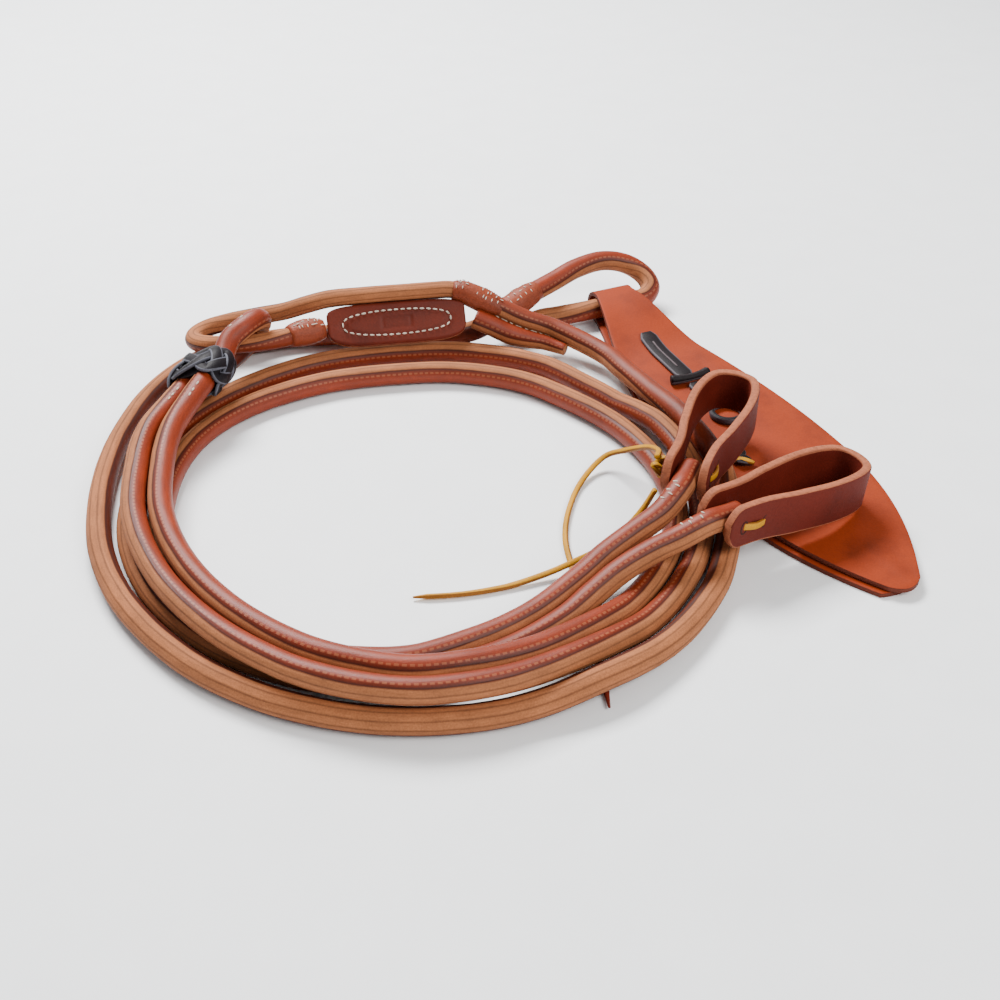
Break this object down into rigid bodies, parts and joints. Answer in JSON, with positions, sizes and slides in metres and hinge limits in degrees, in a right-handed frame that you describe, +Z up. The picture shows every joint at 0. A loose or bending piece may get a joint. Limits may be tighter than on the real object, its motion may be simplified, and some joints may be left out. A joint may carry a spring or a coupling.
{
  "type": "leather reins",
  "caption": "Rolled leather reins joined to a romal with a folded popper, lying in a loose coil, with flat bit loops laced to the rein ends.",
  "frame": {"origin": "centre of the object's bounding box, at its base, where it lies on the ground", "axes": "+Z up; +Y away from the viewer of the coil, towards the connector panel; +X towards the popper and the bit loops"},
  "size_m": [0.3643, 0.3527, 0.04],
  "materials": {
    "rein_left": "oiled leather",
    "rein_right": "oiled leather",
    "rein_end_loop": "oiled leather",
    "rein_knot": "oiled leather",
    "connector_strand": "oiled leather",
    "panel_front": "oiled leather",
    "panel_back": "oiled leather",
    "panel_stitching": "waxed white thread",
    "romal_strand": "oiled leather",
    "romal_eye_leg": "oiled leather",
    "romal_throat": "oiled leather",
    "popper_loop": "oiled leather",
    "popper": "oiled leather",
    "popper_tie_tab": "oiled leather",
    "popper_tie_roll": "oiled leather",
    "popper_tie_tail": "oiled leather",
    "popper_tie_curl": "oiled leather",
    "popper_tie_knot": "oiled leather",
    "bit_loop_left": "oiled leather",
    "bit_loop_right": "oiled leather",
    "bit_lace_left": "oiled leather",
    "bit_lace_right": "oiled leather",
    "lace_knot": "oiled leather",
    "lace_tail_curled": "oiled leather",
    "lace_tail_straight": "oiled leather"
  },
  "bodies": {
    "coil": {"rein_left": "rein_left", "rein_right": "rein_right", "rein_end_loop": "rein_end_loop", "rein_knot": "rein_knot", "connector_strand": "connector_strand", "panel_front": "panel_front", "panel_back": "panel_back", "panel_stitching": "panel_stitching", "romal_strand": "romal_strand", "romal_eye_leg": "romal_eye_leg", "romal_throat": "romal_throat", "popper_loop": "popper_loop", "lace_knot": "lace_knot", "lace_tail_curled": "lace_tail_curled", "lace_tail_straight": "lace_tail_straight"},
    "popper": {"popper": "popper", "popper_tie_tab": "popper_tie_tab", "popper_tie_roll": "popper_tie_roll", "popper_tie_tail": "popper_tie_tail", "popper_tie_curl": "popper_tie_curl", "popper_tie_knot": "popper_tie_knot"},
    "bit_left": {"bit_loop_left": "bit_loop_left", "bit_lace_left": "bit_lace_left"},
    "bit_right": {"bit_loop_right": "bit_loop_right", "bit_lace_right": "bit_lace_right"}
  },
  "joints": [
    {"name": "popper_swing", "type": "hinge", "parent": "coil", "child": "popper", "pos_m": [0.0678, 0.1469, 0.0083], "axis": [0, 0, 1], "range_deg": [0, 12]},
    {"name": "bit_loop_left_lift", "type": "hinge", "parent": "coil", "child": "bit_left", "pos_m": [0.08632, -0.04432, 0.0276], "axis": [0.9205, -0.3907, 0], "range_deg": [0, 60]},
    {"name": "bit_loop_right_lift", "type": "hinge", "parent": "coil", "child": "bit_right", "pos_m": [0.10067, -0.07052, 0.02456], "axis": [0.5678, -0.8231, 0], "range_deg": [0, 60]}
  ]
}
